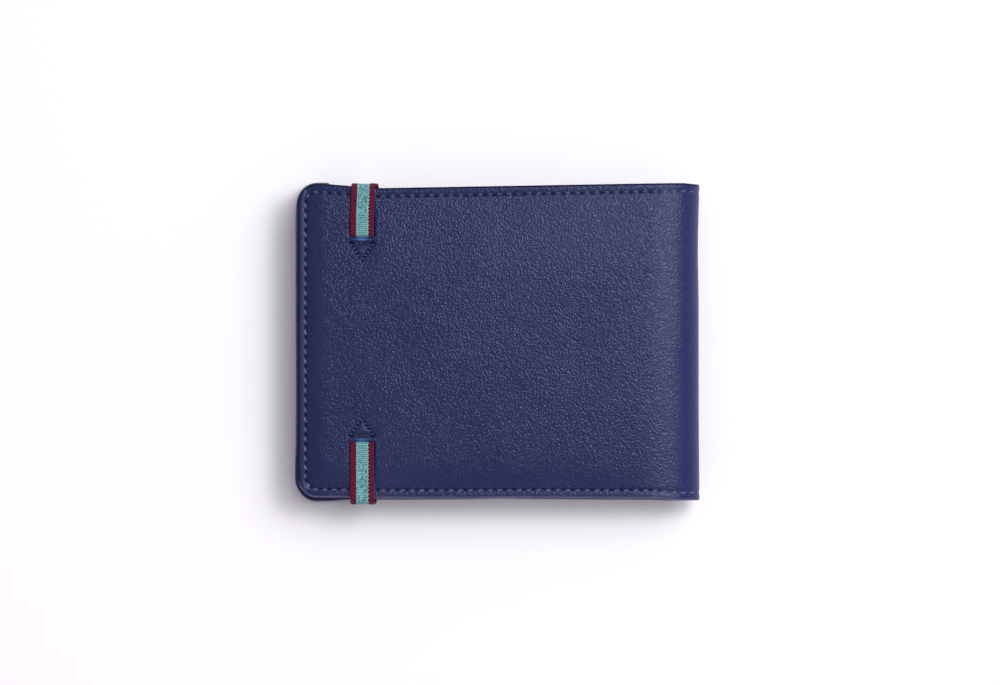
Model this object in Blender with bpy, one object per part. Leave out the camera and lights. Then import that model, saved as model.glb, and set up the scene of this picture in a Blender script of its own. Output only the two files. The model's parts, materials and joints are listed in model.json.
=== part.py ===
"""Bifold leather wallet, closed, lying on its front cover, with an elastic band round both covers.

Frame: metres, +Z up. The spine is on the +X side, the free edge on the -X side, and the note
compartment opens towards +Y. The origin is the centre of the footprint, on the table.
Each cover is a stack of thin leather and lining layers. Depth is measured from a cover's outer
face inwards, so the same stack serves the front cover (below) and the back cover (above).
"""

import math

import bmesh
import bpy
from mathutils import Vector

MM = 0.001

# Driving dimensions, in metres
WALLET_WIDTH = 120 * MM
WALLET_HEIGHT = 94 * MM
WALLET_THICKNESS = 15 * MM
CORNER_RADIUS = 6 * MM
GAP = 0.25 * MM
CUT_MARGIN = 1 * MM

LEATHER = 1.2 * MM
RIM_DEPTH = 3.3 * MM
SEAM_INSET = 2.3 * MM
THREAD = 0.6 * MM
THREAD_DEPTH = 0.35 * MM
GROOVE_DEPTH = 0.6 * MM

ELASTIC_WIDTH = 7.4 * MM
ELASTIC_THICKNESS = 0.9 * MM
ELASTIC_X = -40.4 * MM
SLIT_Y = 30 * MM
SLIT_WIDTH = 1.5 * MM
TAIL_LENGTH = 9 * MM
TACK_BASE = 6.8 * MM
TACK_HEIGHT = 4.8 * MM
TACK_Y = 28.6 * MM

# Depth of each layer's outer side, from the cover's outer face, and its thickness
STIFFENER = (1.45 * MM, 0.5 * MM)
LINING = (2.5 * MM, 0.3 * MM)
INNER_PANEL = (3.6 * MM, 0.5 * MM)
FIRST_SLOT_DEPTH = 4.35 * MM
SLOT_THICKNESS = 0.5 * MM
SLOT_SPACING = SLOT_THICKNESS + GAP
SLOT_COUNT = 4
FIRST_MOUTH_Y = 32 * MM
MOUTH_STEP = 12 * MM

PANEL_INSET = 0.3 * MM
PANEL_TOP_Y = 44 * MM
EAR_WIDTH = 9 * MM
LINING_END_X = 54.1 * MM
PANEL_END_X = 53.2 * MM
SLOT_END_X = 52.8 * MM
STIFFENER_END_X = 51.2 * MM

# The spine is a fold of flat strips, one for each side of a polygon wrapped round half a circle.
# Half of the strips hang from the front cover and half from the back cover: they meet in the middle.
HINGE_COUNT = 5
STRIP_COUNT = HINGE_COUNT - 1
FOLD_STEP = math.pi / HINGE_COUNT
LEATHER_MID_RADIUS = WALLET_THICKNESS / 2 - LEATHER / 2
SPINE_LINING_RADIUS = (5.75 * MM, 6.05 * MM)
GUTTER_RADIUS = (4.1 * MM, 4.4 * MM)
STRIP_GAP = 0.3 * MM

# Positions that follow from the dimensions above
FREE_EDGE_X = -WALLET_WIDTH / 2
HALF_HEIGHT = WALLET_HEIGHT / 2
FRONT_FACE_Z = GAP + ELASTIC_THICKNESS
BACK_FACE_Z = FRONT_FACE_Z + WALLET_THICKNESS
FOLD_CENTRE = Vector(
    (
        WALLET_WIDTH / 2 - WALLET_THICKNESS / 2 / math.cos(FOLD_STEP / 2),
        0,
        FRONT_FACE_Z + WALLET_THICKNESS / 2,
    )
)
HINGE_RADIUS = LEATHER_MID_RADIUS / math.cos(FOLD_STEP / 2)
FIRST_HINGE_X = FOLD_CENTRE.x + HINGE_RADIUS * math.cos(FOLD_STEP * (HINGE_COUNT - 1) / 2)
COVER_END_X = FIRST_HINGE_X - STRIP_GAP / 2

NAVY = (0.030, 0.040, 0.115)
NAVY_DARK = (0.018, 0.024, 0.070)
LINING_BLUE = (0.045, 0.055, 0.110)
THREAD_BLUE = (0.060, 0.075, 0.190)
TEAL = (0.130, 0.420, 0.420)
BOARD_GREY = (0.180, 0.160, 0.140)


def clear_scene():
    for obj in list(bpy.data.objects):
        bpy.data.objects.remove(obj)


def make_material(name, colour, roughness):
    material = bpy.data.materials.new(name)
    material.use_nodes = True
    shader = material.node_tree.nodes["Principled BSDF"]
    shader.inputs["Base Color"].default_value = (*colour, 1)
    shader.inputs["Roughness"].default_value = roughness
    shader.inputs["Metallic"].default_value = 0
    return material


def add_object(name, mesh, material, parent, location=(0, 0, 0), turn=0.0):
    """Links a mesh as a named object, at a world location and turned about +Y, under a parent."""
    obj = bpy.data.objects.new(name, mesh)
    mesh.materials.append(material)
    bpy.context.collection.objects.link(obj)
    obj.parent = parent
    obj.location = Vector(location) - parent.matrix_world.translation
    obj.rotation_euler = (0, turn, 0)
    return obj


def add_empty(name, location, parent=None):
    """An empty on a joint's axis. What moves with the joint is parented to it."""
    empty = bpy.data.objects.new(name, None)
    bpy.context.collection.objects.link(empty)
    empty.parent = parent
    start = parent.matrix_world.translation if parent else Vector()
    empty.location = Vector(location) - start
    bpy.context.view_layer.update()
    return empty


def prism_mesh(name, outline, low, high, axis="Z"):
    """A closed solid from an outline. Axis Z extrudes an XY outline, X a YZ one and Y an XZ one."""
    placed = {
        "Z": lambda a, b, c: (a, b, c),
        "X": lambda a, b, c: (c, a, b),
        "Y": lambda a, b, c: (a, c, b),
    }[axis]
    bm = bmesh.new()
    bottom = bm.faces.new([bm.verts.new(placed(a, b, low)) for a, b in outline])
    side = bmesh.ops.extrude_face_region(bm, geom=[bottom])
    moved = [v for v in side["geom"] if isinstance(v, bmesh.types.BMVert)]
    shift = Vector(placed(0, 0, high - low))
    bmesh.ops.translate(bm, verts=moved, vec=shift)
    bmesh.ops.recalc_face_normals(bm, faces=bm.faces)
    mesh = bpy.data.meshes.new(name)
    bm.to_mesh(mesh)
    bm.free()
    return mesh


def arc_points(centre, radius, start, end, steps=6):
    """Points along an arc, by angle in degrees."""
    points = []
    for i in range(steps + 1):
        angle = math.radians(start + (end - start) * i / steps)
        points.append(
            (centre[0] + radius * math.cos(angle), centre[1] + radius * math.sin(angle))
        )
    return points


def cover_outline(inset, end_x, top_y=HALF_HEIGHT):
    """The cover's outline, inset on its three outer sides, with both free corners rounded."""
    radius = CORNER_RADIUS - inset
    left = FREE_EDGE_X + CORNER_RADIUS
    top = top_y - CORNER_RADIUS
    bottom = CORNER_RADIUS - HALF_HEIGHT
    return [
        (end_x, top_y - inset),
        *arc_points((left, top), radius, 90, 180),
        *arc_points((left, bottom), radius, 180, 270),
        (end_x, inset - HALF_HEIGHT),
    ]


def seam_outline(inner_inset, outer_inset, end_x):
    """A C-shaped band between two insets of the cover's outline, open towards the spine."""
    outer = cover_outline(outer_inset, end_x)
    inner = cover_outline(inner_inset, end_x)
    return outer + inner[::-1]


def panel_outline(end_x):
    """The inner panel: its top edge is below the cover's, but for an ear sewn in at the corner."""
    left = FREE_EDGE_X + CORNER_RADIUS
    radius = CORNER_RADIUS - PANEL_INSET
    top = HALF_HEIGHT - CORNER_RADIUS
    ear_x = FREE_EDGE_X + EAR_WIDTH
    return [
        (end_x, PANEL_TOP_Y),
        (ear_x + (HALF_HEIGHT - PANEL_TOP_Y), PANEL_TOP_Y),
        (ear_x, HALF_HEIGHT - PANEL_INSET),
        *arc_points((left, top), radius, 90, 180),
        *arc_points((left, -top), radius, 180, 270),
        (end_x, -HALF_HEIGHT + PANEL_INSET),
    ]


def slot_outline(mouth_y, end_x):
    """A card slot: square at its mouth, rounded at the free bottom corner."""
    left = FREE_EDGE_X + PANEL_INSET
    radius = CORNER_RADIUS - PANEL_INSET
    bottom = -HALF_HEIGHT + CORNER_RADIUS
    return [
        (end_x, mouth_y),
        (left, mouth_y),
        *arc_points((FREE_EDGE_X + CORNER_RADIUS, bottom), radius, 180, 270),
        (end_x, -HALF_HEIGHT + PANEL_INSET),
    ]


class Cover:
    """One cover and its layers. side is +1 for the front cover, whose layers go up, else -1."""

    def __init__(self, name, side, face_z, parent):
        self.name, self.side, self.face_z, self.parent = name, side, face_z, parent

    def z(self, depth):
        return self.face_z + self.side * depth

    def layer(self, name, outline, depth, thickness, material):
        """A flat layer with its own origin at its outer side."""
        reach = sorted((0, self.side * thickness))
        mesh = prism_mesh(name, outline, *reach)
        return add_object(
            f"{self.name}_{name}", mesh, material, self.parent, (0, 0, self.z(depth))
        )

    def cutter(self, name, outline, depth_from, depth_to):
        reach = sorted((self.side * depth_from, self.side * depth_to))
        mesh = prism_mesh(name, outline, *reach)
        obj = add_object(
            f"{self.name}_{name}", mesh, CUTTER, self.parent, (0, 0, self.face_z)
        )
        hide_cutter(obj)
        return obj


def hide_cutter(obj):
    obj.hide_render = True
    obj.display_type = "WIRE"


def cut(obj, cutter):
    modifier = obj.modifiers.new("cut " + cutter.name, "BOOLEAN")
    modifier.operation = "DIFFERENCE"
    modifier.object = cutter


def rectangle(x, y, width, height):
    return [
        (x - width / 2, y - height / 2),
        (x + width / 2, y - height / 2),
        (x + width / 2, y + height / 2),
        (x - width / 2, y + height / 2),
    ]


def tack_triangle(end, inset):
    """The arrowhead of stitches that holds an elastic tail: base at the slit, point inwards."""
    base = end * (TACK_Y - inset)
    point = end * (TACK_Y - TACK_HEIGHT + 1.8 * inset)
    half = TACK_BASE / 2 - 1.6 * inset
    return [(ELASTIC_X - half, base), (ELASTIC_X + half, base), (ELASTIC_X, point)]


def ring_mesh(name, outer, inner, low, high):
    """A closed ring between two outlines that have the same number of points."""
    bm = bmesh.new()
    rows = []
    for outline, z in ((outer, low), (inner, low), (inner, high), (outer, high)):
        rows.append([bm.verts.new((x, y, z)) for x, y in outline])
    count = len(outer)
    for r in range(4):
        here, there = rows[r], rows[(r + 1) % 4]
        for i in range(count):
            j = (i + 1) % count
            bm.faces.new((here[i], here[j], there[j], there[i]))
    bmesh.ops.recalc_face_normals(bm, faces=bm.faces)
    mesh = bpy.data.meshes.new(name)
    bm.to_mesh(mesh)
    bm.free()
    return mesh


def build_shell(cover):
    """The outer leather: a skin with a stitch groove, turned in as a rim on the edges that are sewn."""
    skin = cover.layer("leather", cover_outline(0, COVER_END_X), 0, RIM_DEPTH, LEATHER_NAVY)
    beyond_x = COVER_END_X + CUT_MARGIN
    beyond_y = HALF_HEIGHT + 2 * CORNER_RADIUS
    hollow = cover_outline(LEATHER, beyond_x, beyond_y)
    cut(skin, cover.cutter("hollow", hollow, LEATHER, RIM_DEPTH + CUT_MARGIN))
    groove = seam_outline(SEAM_INSET + THREAD, SEAM_INSET - THREAD, beyond_x)
    cut(skin, cover.cutter("stitch_groove", groove, -CUT_MARGIN, GROOVE_DEPTH))
    return skin


def build_seam_thread(cover):
    outline = seam_outline(SEAM_INSET + THREAD / 2, SEAM_INSET - THREAD / 2, COVER_END_X)
    cover.layer("edge_thread", outline, 0, THREAD_DEPTH, THREAD_NAVY)


def build_inside(cover):
    """The layers inside a cover: lining, inner panel and the card slots stepped down it."""
    lining_inset = LEATHER + GAP
    cover.layer("lining", cover_outline(lining_inset, LINING_END_X), *LINING, LINING_CLOTH)
    cover.layer("inner_panel", panel_outline(PANEL_END_X), *INNER_PANEL, LEATHER_DARK)
    for i in range(SLOT_COUNT):
        outline = slot_outline(FIRST_MOUTH_Y - i * MOUTH_STEP, SLOT_END_X)
        depth = FIRST_SLOT_DEPTH + i * SLOT_SPACING
        cover.layer(f"card_slot_{i + 1}", outline, depth, SLOT_THICKNESS, LEATHER_DARK)


def build_stiffener(cover):
    inset = SEAM_INSET + THREAD + GAP
    outline = cover_outline(inset, STIFFENER_END_X)
    return cover.layer("stiffener", outline, *STIFFENER, BOARD)


def build_front_cover(root):
    cover = Cover("front_cover", 1, FRONT_FACE_Z, root)
    build_shell(cover)
    build_seam_thread(cover)
    build_stiffener(cover)
    build_inside(cover)


def build_back_cover(pivot):
    """The back cover also has the two slits, the windows for the elastic's tails and the tacks."""
    cover = Cover("back_cover", -1, BACK_FACE_Z, pivot)
    skin = build_shell(cover)
    stiffener = build_stiffener(cover)
    build_seam_thread(cover)
    build_inside(cover)
    slit_length = ELASTIC_WIDTH + 4 * GAP
    for label, end in (("top", 1), ("bottom", -1)):
        slit = rectangle(ELASTIC_X, end * SLIT_Y, slit_length, SLIT_WIDTH)
        cut(skin, cover.cutter(f"{label}_slit", slit, -CUT_MARGIN, LEATHER + CUT_MARGIN))
        window = rectangle(
            ELASTIC_X,
            end * (SLIT_Y - TAIL_LENGTH / 2),
            slit_length,
            TAIL_LENGTH + 2 * SLIT_WIDTH,
        )
        cut(stiffener, cover.cutter(f"{label}_window", window, 0, LINING[0]))
        build_tack(cover, skin, label, end)


def build_tack(cover, skin, label, end):
    """An arrowhead of thread, sunk in a groove round the leather that covers an elastic tail."""
    groove = ring_mesh(
        "tack_groove",
        tack_triangle(end, -THREAD / 2),
        tack_triangle(end, THREAD * 3 / 2),
        -GROOVE_DEPTH,
        CUT_MARGIN,
    )
    groove_cutter = add_object(
        f"{label}_tack_groove", groove, CUTTER, cover.parent, (0, 0, cover.face_z)
    )
    hide_cutter(groove_cutter)
    cut(skin, groove_cutter)
    thread = ring_mesh(
        "tack_thread", tack_triangle(end, 0), tack_triangle(end, THREAD), -THREAD_DEPTH, 0
    )
    add_object(
        f"{label}_tack_thread", thread, THREAD_NAVY, cover.parent, (0, 0, cover.face_z)
    )


def build_elastic_leg(label, end, parent):
    """One end of the elastic: on the back cover, down through the slit and under the tack."""
    outer = BACK_FACE_Z + GAP
    inner = BACK_FACE_Z - LEATHER - GAP
    thick = ELASTIC_THICKNESS
    edge_y = HALF_HEIGHT
    near, far = SLIT_Y - thick / 2, SLIT_Y + thick / 2
    profile = [
        (edge_y, outer + thick),
        (near, outer + thick),
        (near, inner),
        (SLIT_Y - TAIL_LENGTH, inner),
        (SLIT_Y - TAIL_LENGTH, inner - thick),
        (far, inner - thick),
        (far, outer),
        (edge_y, outer),
    ]
    profile = [(end * y, z) for y, z in profile]
    mesh = prism_mesh("leg", profile, -ELASTIC_WIDTH / 2, ELASTIC_WIDTH / 2, "X")
    add_object(f"elastic_{label}_leg", mesh, ELASTIC_CLOTH, parent, (ELASTIC_X, 0, 0))


def build_elastic_loop(parent):
    """The part of the elastic that goes over both long edges and across the front cover."""
    thick = ELASTIC_THICKNESS
    reach = HALF_HEIGHT + GAP + 0.05 * MM
    top = BACK_FACE_Z + GAP + thick
    bend = 1.6 * MM
    outer = [
        (reach + thick, top),
        *arc_points((reach + thick - bend, bend), bend, 0, -90, 4),
        *arc_points((-reach - thick + bend, bend), bend, 270, 180, 4),
        (-reach - thick, top),
    ]
    inner_bend = bend - thick
    inner = [
        (-reach, top),
        *arc_points((-reach + inner_bend, bend), inner_bend, 180, 270, 4),
        *arc_points((reach - inner_bend, bend), inner_bend, -90, 0, 4),
        (reach, top),
    ]
    mesh = prism_mesh("loop", outer + inner, -ELASTIC_WIDTH / 2, ELASTIC_WIDTH / 2, "X")
    add_object("elastic_loop", mesh, ELASTIC_CLOTH, parent, (ELASTIC_X, 0, 0))


def hinge_point(index):
    """World position of a fold line: 0 is at the front cover and HINGE_COUNT - 1 at the back cover."""
    angle = FOLD_STEP * (index - (HINGE_COUNT - 1) / 2)
    return FOLD_CENTRE + HINGE_RADIUS * Vector((math.cos(angle), 0, math.sin(angle)))


def build_strip(name, angle, inner_radius, outer_radius, height, material, parent):
    """A flat strip of the fold, tangent to the fold's circle at this angle, with mitred ends."""
    flat_half = LEATHER_MID_RADIUS * math.tan(FOLD_STEP / 2) - STRIP_GAP / 2
    middle = (inner_radius + outer_radius) / 2
    section = []
    for radius, side in (
        (inner_radius, -1),
        (inner_radius, 1),
        (outer_radius, 1),
        (outer_radius, -1),
    ):
        folded_half = radius * math.tan(FOLD_STEP / 2) - STRIP_GAP / 2
        section.append((side * min(flat_half, folded_half), radius - middle))
    mesh = prism_mesh(name, section, -height / 2, height / 2, "Y")
    location = FOLD_CENTRE + middle * Vector((math.cos(angle), 0, math.sin(angle)))
    return add_object(name, mesh, material, parent, location, math.pi / 2 - angle)


def build_spine_strip(index, hinge):
    """One strip of the spine: outer leather, its lining and the gutter between inner panels."""
    angle = FOLD_STEP * (index - HINGE_COUNT / 2)
    leather_radius = (LEATHER_MID_RADIUS - LEATHER / 2, LEATHER_MID_RADIUS + LEATHER / 2)
    lined_height = WALLET_HEIGHT - 2 * (LEATHER + GAP)
    build_strip(
        f"spine_leather_{index}", angle, *leather_radius, WALLET_HEIGHT, LEATHER_NAVY, hinge
    )
    build_strip(
        f"spine_lining_{index}", angle, *SPINE_LINING_RADIUS, lined_height, LINING_CLOTH, hinge
    )
    gutter_bottom = LEATHER + GAP - HALF_HEIGHT
    gutter_height = PANEL_TOP_Y - gutter_bottom
    gutter = build_strip(
        f"gutter_lining_{index}", angle, *GUTTER_RADIUS, gutter_height, LINING_CLOTH, hinge
    )
    gutter.location.y = (PANEL_TOP_Y + gutter_bottom) / 2


def cover_pivot_point():
    """The axis of the half turn that takes the back cover from closed to flat beside the front one."""
    strip_length = 2 * HINGE_RADIUS * math.sin(FOLD_STEP / 2)
    flat_spine_end = hinge_point(0) + Vector((STRIP_COUNT * strip_length, 0, 0))
    return (hinge_point(HINGE_COUNT - 1) + flat_spine_end) / 2


def build_wallet():
    root = add_empty("front_cover_base", (0, 0, 0))
    build_front_cover(root)
    pivot = add_empty("cover_pivot", cover_pivot_point(), root)
    build_back_cover(pivot)
    front_fold, back_fold = root, pivot
    for i in range(STRIP_COUNT // 2):
        front_fold = add_empty(f"front_fold_{i + 1}", hinge_point(i), front_fold)
        build_spine_strip(i + 1, front_fold)
        back_fold = add_empty(f"back_fold_{i + 1}", hinge_point(STRIP_COUNT - i), back_fold)
        build_spine_strip(STRIP_COUNT - i, back_fold)
    build_elastic_leg("top", 1, pivot)
    build_elastic_leg("bottom", -1, pivot)
    band = add_empty("elastic_slide", (ELASTIC_X, 0, BACK_FACE_Z), pivot)
    build_elastic_loop(band)


clear_scene()
LEATHER_NAVY = make_material("navy_leather", NAVY, 0.45)
LEATHER_DARK = make_material("inner_leather", NAVY_DARK, 0.5)
LINING_CLOTH = make_material("lining_cloth", LINING_BLUE, 0.8)
THREAD_NAVY = make_material("thread", THREAD_BLUE, 0.6)
ELASTIC_CLOTH = make_material("elastic", TEAL, 0.75)
BOARD = make_material("stiffener_board", BOARD_GREY, 0.9)
CUTTER = make_material("cutter", (1, 0, 0), 0.5)
build_wallet()
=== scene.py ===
"""Looks for the bifold wallet: grained leather covers and spine, thread, woven elastic and inner panels.

Every length is in millimetres, and meshes are scaled to metres when they are made. A point of a sheet has
a place along the cover (x), a place up the cover (y) and a depth in from the outer face. section() turns
that into a point in space: flat on the covers, curved in the fold.
"""

import json
import math
from collections import namedtuple

import bmesh
import bpy
import numpy as np
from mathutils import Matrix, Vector


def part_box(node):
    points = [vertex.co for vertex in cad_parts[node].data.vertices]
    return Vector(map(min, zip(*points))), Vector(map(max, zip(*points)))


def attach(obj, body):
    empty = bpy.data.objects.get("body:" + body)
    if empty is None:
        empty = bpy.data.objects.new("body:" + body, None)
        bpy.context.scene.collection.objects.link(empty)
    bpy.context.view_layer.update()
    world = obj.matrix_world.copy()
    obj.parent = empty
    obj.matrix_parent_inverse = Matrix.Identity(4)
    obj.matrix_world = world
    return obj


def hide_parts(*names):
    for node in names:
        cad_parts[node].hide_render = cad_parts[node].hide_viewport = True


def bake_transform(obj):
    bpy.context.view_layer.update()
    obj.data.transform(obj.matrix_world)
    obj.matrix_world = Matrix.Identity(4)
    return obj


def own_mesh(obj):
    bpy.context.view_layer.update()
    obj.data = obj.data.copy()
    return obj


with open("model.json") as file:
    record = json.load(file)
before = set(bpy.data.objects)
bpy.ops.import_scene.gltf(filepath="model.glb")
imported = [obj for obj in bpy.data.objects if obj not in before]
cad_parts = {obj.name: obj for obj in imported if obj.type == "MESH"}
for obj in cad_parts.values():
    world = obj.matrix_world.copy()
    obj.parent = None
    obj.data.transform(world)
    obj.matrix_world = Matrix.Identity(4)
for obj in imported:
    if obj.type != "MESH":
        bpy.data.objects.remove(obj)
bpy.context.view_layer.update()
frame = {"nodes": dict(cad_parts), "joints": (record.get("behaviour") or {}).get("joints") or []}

MM = 0.001


def node_box(name):
    """Lowest and highest corner of a CAD node, in millimetres."""
    low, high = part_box(name)
    return np.array(low) / MM, np.array(high) / MM


# Places read from the frame
BACK_LOW, BACK_HIGH = node_box("back_cover_leather")
LOOP_LOW, LOOP_HIGH = node_box("elastic_loop")
PANEL_LOW, PANEL_HIGH = node_box("back_cover_inner_panel")
LINING_LOW, LINING_HIGH = node_box("back_cover_lining")
SLOTS = [node_box(f"back_cover_card_slot_{i}") for i in range(1, 5)]
HINGES = {j["name"]: np.array(j["pos_m"]) / MM for j in frame["joints"] if j["type"] == "hinge"}
FREE_X = BACK_LOW[0]
HALF_HEIGHT = BACK_HIGH[1]
BACK_Z = BACK_HIGH[2]
FRONT_Z = node_box("front_cover_leather")[0][2]
MID_Z = (BACK_Z + FRONT_Z) / 2
HALF_THICK = (BACK_Z - FRONT_Z) / 2
RIM = BACK_HIGH[2] - BACK_LOW[2]
SPINE_X = node_box("spine_leather_2")[1][0]
STRAP_X = (LOOP_LOW[0] + LOOP_HIGH[0]) / 2
STRAP_WIDTH = LOOP_HIGH[0] - LOOP_LOW[0] - 0.4

# Outline and fold
CORNER = 6.0
FOLD_START_X = 38.5
FOLD_LENGTH = SPINE_X - FOLD_START_X
FOLD_POWER = 2.4
JOIN_X = 48.0
FOLD_CENTRE_X = HINGES["spine_bend_2"][0] - (HINGES["spine_bend_3"][2] - MID_Z) / math.tan(math.radians(36))
TOP_HEM = 2.45
EDGE_ROUND = 0.6
PLY_SPLIT = 1.45
CROWN_X = 4.0

# Inner layers
SLAB_CORNER = CORNER - 0.3
PANEL_TOP_Y = 44.0
PANEL_DEPTH = BACK_Z - PANEL_HIGH[2] - 0.05
LINING_DEPTH = BACK_Z - LINING_HIGH[2]
PANEL_THICK = 0.68
SLOT_THICK = 0.64

# Seams and stitches
SEAM_INSET = 2.3
STITCH_PITCH = 2.9
STITCH_SHARE = 0.50
THREAD_RADIUS = 0.34

# Slits in the back cover, with a stitched arrowhead at each. The bottom ones are nearer the middle.
BOTTOM_SLIT_SHIFT = 1.5
SLIT_Y = 31.3
LIP_Y = 30.15
TACK_BASE_Y = 29.3
TACK_HEIGHT = 4.9
TACK_MIDDLE_Y = 27.0
TACK_HALF = 3.5
TACK_SLOPE = math.hypot(TACK_HEIGHT, TACK_HALF)
TACK_PITCH = 1.3

# Elastic
STRAP_THICK = 0.9
STRAP_REST = 0.06
STRAP_TOP_Z = BACK_Z + STRAP_REST + STRAP_THICK / 2 - 0.05
STRAP_LOW_Z = LOOP_LOW[2] + STRAP_THICK / 2 + 0.02
STRAP_SPACING = 0.105
LEG_END_Y = 44.5
TEAL_HALF = 1.86
RIB_PITCH = 0.62
PLAIT_PITCH = 0.80

# Spacing of grid lines near edges and where the relief is fine
RIM_SPACING = 0.17
FINE_SPACING = 0.15
EDGE_STEPS = np.array([0.0, 0.03, 0.1, 0.2, 0.33, 0.48, 0.65])


# ---- small maths


def rise(value, start, width):
    """A smooth step: 0 up to start and 1 from start + width on."""
    t = np.clip((value - start) / width, 0, 1)
    return t * t * (3 - 2 * t)


def fall(value, start, width):
    return 1 - rise(value, start, width)


def bell(value, middle, width):
    return np.exp(-np.square((value - middle) / width))


def ripple(a, b, seed, wavelength, count=7):
    """Gentle random waves with a typical wavelength, between about -1 and 1."""
    rng = np.random.default_rng(seed)
    total = np.zeros(np.broadcast(a, b).shape)
    for _ in range(count):
        heading = rng.uniform(0, math.tau)
        turns = math.tau / (wavelength * rng.uniform(0.7, 1.6))
        shift = rng.uniform(0, math.tau)
        total += np.sin(turns * (a * math.cos(heading) + b * math.sin(heading)) + shift)
    return total / math.sqrt(count)


def lines(start, *spans):
    """Grid lines from start on, through spans of (end, spacing)."""
    parts = []
    for end, spacing in spans:
        steps = max(1, math.ceil(abs(end - start) / spacing - 1e-6))
        parts.append(np.linspace(start, end, steps + 1)[:-1])
        start = end
    return np.concatenate([*parts, [start]])


def rounded_ends(values):
    """Adds close lines just inside both ends, where the edge is rounded."""
    low, high = values[0], values[-1]
    inner = values[(values > low + 0.8) & (values < high - 0.8)]
    return np.concatenate([low + EDGE_STEPS, inner, high - EDGE_STEPS[::-1]])


def edge_round(inset):
    """How far a cover's face falls away at its rounded outer edge."""
    t = np.clip(1 - inset / EDGE_ROUND, 0, 1)
    return EDGE_ROUND * (1 - np.sqrt(1 - t * t))


def sheet_half(inset, thickness):
    """Half the thickness of a thin sheet with a round edge."""
    half = thickness / 2
    return half * np.sqrt(1 - np.square(1 - np.clip(inset / half, 0, 1)))


def stack(x, y, z):
    return np.stack(np.broadcast_arrays(x, y, z), axis=-1)


def travel(a, b):
    """Distance travelled along a line of points."""
    return np.concatenate([[0], np.cumsum(np.hypot(np.diff(a), np.diff(b)))])


# ---- mesh building


def new_object(name, data):
    obj = bpy.data.objects.new(name, data)
    bpy.context.scene.collection.objects.link(obj)
    return obj


def turn_outwards(mesh):
    bm = bmesh.new()
    bm.from_mesh(mesh)
    bmesh.ops.recalc_face_normals(bm, faces=bm.faces)
    bm.to_mesh(mesh)
    bm.free()


class Shell:
    """Collects grids of points, then welds them into one mesh. Points are in millimetres."""

    def __init__(self):
        self.points = []
        self.quads = []
        self.values = []
        self.count = 0

    def grid(self, points, **values):
        """A patch with rows and columns of points. values are read by the material at each point."""
        rows, columns = points.shape[:2]
        index = np.arange(rows * columns).reshape(rows, columns) + self.count
        corners = (index[:-1, :-1], index[1:, :-1], index[1:, 1:], index[:-1, 1:])
        self.quads.append(np.stack(corners, axis=-1).reshape(-1, 4))
        self.points.append(points.reshape(-1, 3))
        self.values.append({k: np.broadcast_to(v, (rows, columns)).reshape(-1) for k, v in values.items()})
        self.count += rows * columns

    def build(self, name, finish, *nodes):
        """The welded mesh as an object with a finish, standing for CAD nodes. Its rest places are kept,
        so that textures follow it when it bends."""
        material, slot = finish
        points = np.concatenate(self.points)
        keys = np.round(points * 5000).astype(np.int64)
        _, first, merged = np.unique(keys, axis=0, return_index=True, return_inverse=True)
        quads = merged.reshape(-1)[np.concatenate(self.quads)]
        faces = [list(dict.fromkeys(quad)) for quad in quads.tolist()]
        mesh = bpy.data.meshes.new(name)
        mesh.from_pydata((points[first] * MM).tolist(), [], [f for f in faces if len(f) > 2])
        mesh.validate()
        turn_outwards(mesh)
        mesh.shade_smooth()
        rest = mesh.attributes.new("rest", "FLOAT_VECTOR", "POINT")
        rest.data.foreach_set("vector", points[first].astype(np.float32).ravel())
        for value_name in sorted(set(n for v in self.values for n in v)):
            parts = [v.get(value_name, np.zeros(len(p))) for v, p in zip(self.values, self.points)]
            data = mesh.attributes.new(value_name, "FLOAT", "POINT").data
            data.foreach_set("value", np.concatenate(parts)[first].astype(np.float32))
        mesh.materials.append(material)
        obj = new_object(name, mesh)
        if nodes:
            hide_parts(*nodes)
        return obj


# ---- the wallet's section


def fold_profile(theta):
    """Outer face of the fold's upper half: x, height over the middle plane, and the inward normal.
    theta runs from 0, where the cover is flat, to a quarter turn at the middle of the spine."""
    s, c = np.sin(theta), np.cos(theta)
    x = FOLD_START_X + FOLD_LENGTH * np.power(s, 2 / FOLD_POWER)
    along_x = FOLD_LENGTH * 2 / FOLD_POWER * np.power(np.maximum(s, 1e-9), 2 / FOLD_POWER - 1) * c
    along_z = -HALF_THICK * s
    length = np.hypot(along_x, along_z)
    return x, HALF_THICK * c, along_z / length, -along_x / length


def theta_at(x):
    share = np.clip((x - FOLD_START_X) / FOLD_LENGTH, 0, 1)
    return np.arcsin(np.power(share, FOLD_POWER / 2))


def section(side, x, depth):
    """x and z of a point of a cover, at a depth in from its outer face. side is 1 for the back cover."""
    _, height, normal_x, normal_z = fold_profile(theta_at(x))
    return x + normal_x * depth, MID_Z + side * (height + normal_z * depth)


def spine_section(theta, depth):
    """The same for the fold. theta is negative on the front cover's side, zero at the middle."""
    side = np.where(theta < 0, -1, 1)
    x, height, normal_x, normal_z = fold_profile(math.pi / 2 - np.abs(theta))
    return x + normal_x * depth, MID_Z + side * (height + normal_z * depth)


# ---- covers


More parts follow.
